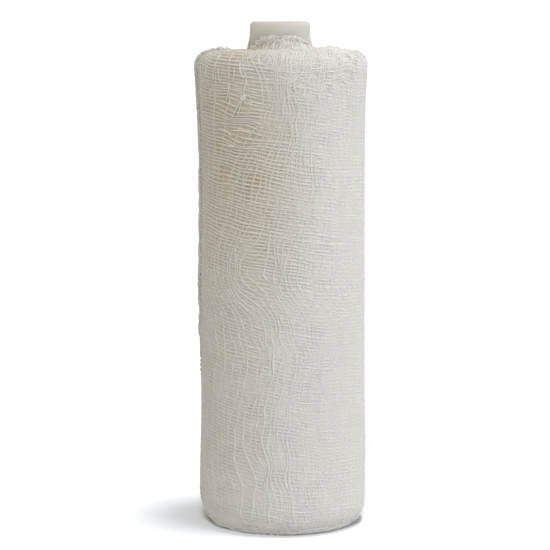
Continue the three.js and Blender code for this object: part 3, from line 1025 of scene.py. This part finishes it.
# %% Turn the core
CORE_SIDES = 128
CORE_BORE = 5.0  # radii and heights in mm
CORE_FOOT = 0.9
CORE_TOP = 106.0
CORE_INSIDE_CLOTH = 6.9
CORE_NECK = 6.3
CONE = (100.6, 103.5)
RIM = 0.85
LIP = 0.35
SEAM, SAG = 0.05, 0.03  # how far the parting line stands out, and how far from round the tube is


def core_outline():
    """Rows of radius and height."""
    arc = np.linspace(0, math.pi / 2, 9)
    rows = [(CORE_BORE + 0.2, CORE_FOOT), (CORE_INSIDE_CLOTH - 0.3, CORE_FOOT)]
    rows += [(CORE_INSIDE_CLOTH, CORE_FOOT + 0.3)]
    rows += [(CORE_INSIDE_CLOTH, z) for z in np.linspace(6, CONE[0] - 0.6, 10)]
    t = np.linspace(0, 1, 12)
    smooth = t * t * (3 - 2 * t)
    rows += list(zip(CORE_INSIDE_CLOTH + (CORE_NECK - CORE_INSIDE_CLOTH) * smooth,
                     CONE[0] - 0.4 + (CONE[1] - CONE[0] + 0.4) * t))
    rows += [(CORE_NECK - RIM + RIM * math.cos(a), CORE_TOP - RIM + RIM * math.sin(a)) for a in arc]
    rows += [(CORE_BORE + LIP - LIP * math.sin(a), CORE_TOP - LIP + LIP * math.cos(a)) for a in arc]
    rows += [(CORE_BORE, z) for z in np.linspace(CORE_TOP - 2, CORE_FOOT + 0.3, 12)]
    return np.array(rows)


def turn_core():
    rows = core_outline()
    angle = np.arange(CORE_SIDES)[:, None] / CORE_SIDES * TAU
    outside = rows[:, 0] > CORE_BORE + 0.6
    seam = SEAM * np.exp(-(np.sin(angle - 0.5) / 0.03) ** 2) * outside
    sag = SAG * np.sin(2 * angle + 0.8) * (rows[:, 1] / CORE_TOP)
    radius = rows[:, 0] + seam + sag
    points = np.stack([CORE_X + radius * np.sin(angle), -radius * np.cos(angle),
                       np.broadcast_to(rows[:, 1], radius.shape)], axis=-1)
    faces = wrapped_faces(CORE_SIDES, len(rows))
    core = make_piece("core_tube", points.reshape(-1, 3), faces, plastic_material, "plastic")
    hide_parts("core")


turn_core()

# %% [markdown]
# ## Floor and light
# The photo has a plain white floor, one short soft shadow, and a roll that only grows slowly darker and
# warmer from right to left. Lamps would draw every thread too sharply, so the roll is lit by one great soft
# wrap of light, bright and cool on the right, dim and warm on the left.

# %% Lay the floor
# The photo's floor is brighter than white, all but its shadow. If it threw that much light up at the roll,
# the roll's foot would glow. So to all but the camera the floor is a faint even glow instead.
FLOOR_SIZE = 3.0  # metres to each side
FLOOR_SEEN = (0.45, 0.465, 0.49, 1)  # a little blue, as its shadow is in the photo
FLOOR_GLOW = (0.5, 0.49, 0.47, 1)


def plain_floor():
    material, nodes = new_material("white_floor")
    seen = add_node(nodes, "ShaderNodeLightPath").outputs["Is Camera Ray"]
    glow = add_node(nodes, "ShaderNodeEmission", {"Color": FLOOR_GLOW})
    paint = add_node(nodes, "ShaderNodeBsdfDiffuse", {"Color": FLOOR_SEEN})
    shader = add_node(nodes, "ShaderNodeMixShader", {0: seen, 1: glow.outputs[0], 2: paint.outputs[0]})
    add_node(nodes, "ShaderNodeOutputMaterial", {"Surface": shader.outputs["Shader"]})
    material.cycles.emission_sampling = "NONE"
    corners = [(x * FLOOR_SIZE, y * FLOOR_SIZE, 0) for x, y in ((-1, -1), (1, -1), (1, 1), (-1, 1))]
    mesh = bpy.data.meshes.new("floor")
    mesh.from_pydata(corners, [], [(0, 1, 2, 3)])
    mesh.materials.append(material)
    floor = bpy.data.objects.new("floor", mesh)
    bpy.context.scene.collection.objects.link(floor)
    print("floor:", 2 * FLOOR_SIZE, "m wide")
    return floor


floor = plain_floor()

# %% Hang two lamps that light only the floor
# The photo's shadow is the roll's own round outline, shifted to the left by a third of its width, so one
# lamp hangs high up, a little to the right. The other fills that shadow from beside the camera, so that its
# own falls behind the roll. Both are linked to the floor alone, because on the roll they would draw every
# thread too sharply.
# Azimuth is in degrees to the right of the camera, height in degrees up, and spread in degrees across.
FLOOR_LAMPS = [
    {"name": "lamp_over_the_floor", "azimuth": 71, "height": 82.7, "spread": 10, "strength": 3.0},
    {"name": "lamp_by_the_camera", "azimuth": -4, "height": 42, "spread": 16, "strength": 3.6},
]


def lamps_for_the_floor():
    lit = bpy.data.collections.new("lit_by_the_floor_lamps")
    lit.objects.link(floor)
    for row in FLOOR_LAMPS:
        light = bpy.data.lights.new(row["name"], "SUN")
        light.angle = math.radians(row["spread"])
        light.energy = row["strength"]
        lamp = bpy.data.objects.new(row["name"], light)
        turn, tilt = math.radians(row["azimuth"]), math.radians(row["height"])
        away = Vector((math.sin(turn) * math.cos(tilt), -math.cos(turn) * math.cos(tilt), math.sin(tilt)))
        lamp.location = away
        lamp.rotation_euler = away.to_track_quat("Z", "Y").to_euler()
        bpy.context.scene.collection.objects.link(lamp)
        lamp.light_linking.receiver_collection = lit
        print("hung", lamp.name)


lamps_for_the_floor()

# %% Wrap the soft light around it
KEY_AZIMUTH = 55  # degrees to the right of the camera
KEY_HEIGHT = -3  # degrees up
TOWARDS_KEY = (1.52, 1.52, 1.555, 1)
AWAY_FROM_KEY = (0.34, 0.29, 0.17, 1)
BACKGROUND_SEEN = (1.1, 1.1, 1.1, 1)  # what the camera sees behind the floor


def wrap_of_light():
    turn, tilt = math.radians(KEY_AZIMUTH), math.radians(KEY_HEIGHT)
    towards = (math.sin(turn) * math.cos(tilt), -math.cos(turn) * math.cos(tilt), math.sin(tilt))
    world = bpy.data.worlds.new("soft_wrap_of_light")
    world.use_nodes = True
    nodes = world.node_tree.nodes
    nodes.clear()
    direction = add_node(nodes, "ShaderNodeTexCoord").outputs["Generated"]
    facing = add_node(nodes, "ShaderNodeVectorMath", {0: direction, 1: towards}, operation="DOT_PRODUCT")
    share = add_node(nodes, "ShaderNodeMapRange", {0: facing.outputs["Value"], 1: -1.0, 2: 1.0},
                     interpolation_type="SMOOTHSTEP")
    sky = add_node(nodes, "ShaderNodeMix", {0: share.outputs[0], 6: AWAY_FROM_KEY, 7: TOWARDS_KEY},
                   data_type="RGBA")
    seen = add_node(nodes, "ShaderNodeLightPath").outputs["Is Camera Ray"]
    shown = add_node(nodes, "ShaderNodeMix", {0: seen, 6: sky.outputs[2], 7: BACKGROUND_SEEN},
                     data_type="RGBA")
    glow = add_node(nodes, "ShaderNodeBackground", {"Color": shown.outputs[2]})
    add_node(nodes, "ShaderNodeOutputWorld", {"Surface": glow.outputs["Background"]})
    return world


bpy.context.scene.world = wrap_of_light()
bpy.context.scene.view_settings.view_transform = "Standard"
print("lit by", bpy.context.scene.world.name)
